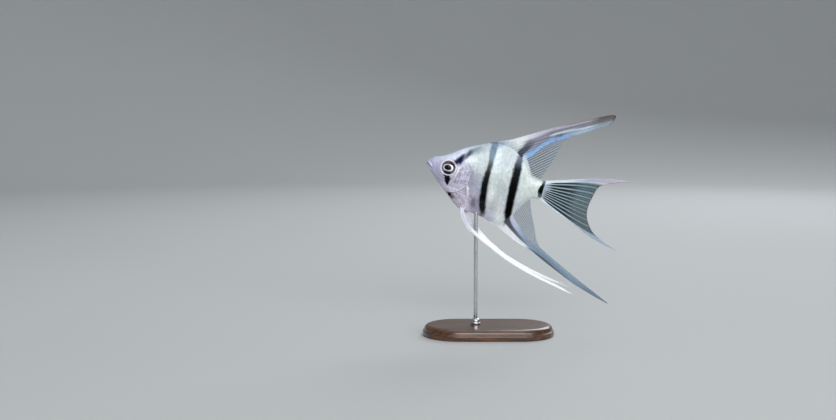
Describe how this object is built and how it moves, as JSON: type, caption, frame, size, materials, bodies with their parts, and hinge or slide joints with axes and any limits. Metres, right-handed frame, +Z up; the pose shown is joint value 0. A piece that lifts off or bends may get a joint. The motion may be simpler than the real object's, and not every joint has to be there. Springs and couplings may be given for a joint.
{
  "type": "freshwater angelfish model",
  "caption": "Life-size freshwater angelfish with swept-back fins and trailing feelers, swimming nose up, held by a slim rod on a flat display base.",
  "frame": {"origin": "centre of the display base's flat underside", "axes": "+Z up out of the base, -X towards the fish's head, -Y to the fish's left side"},
  "size_m": [0.133, 0.046, 0.1406],
  "materials": {
    "skin": "silver scaled skin with black bars, wet sheen",
    "eye": "silver ring round a black pupil, under a clear gloss",
    "fin": "ray-ribbed fin, bluish and partly clear",
    "feeler": "milk-white, ribbed along its length",
    "base": "dark stained, satin varnish",
    "rod": "drawn and lightly brushed"
  },
  "bodies": {
    "root": {"head": "skin", "lower_jaw": "skin", "gill_cover_left": "skin", "gill_cover_right": "skin", "trunk": "skin", "tail_stem": "skin", "eye_left": "eye", "eye_right": "eye", "dorsal_fin": "fin", "anal_fin": "fin", "caudal_fin": "fin", "pectoral_fin_left": "fin", "pectoral_fin_right": "fin", "pelvic_fin_left": "feeler", "pelvic_fin_right": "feeler", "stand_base": "base", "stand_rod": "rod", "stand_collar": "rod"}
  },
  "joints": []
}
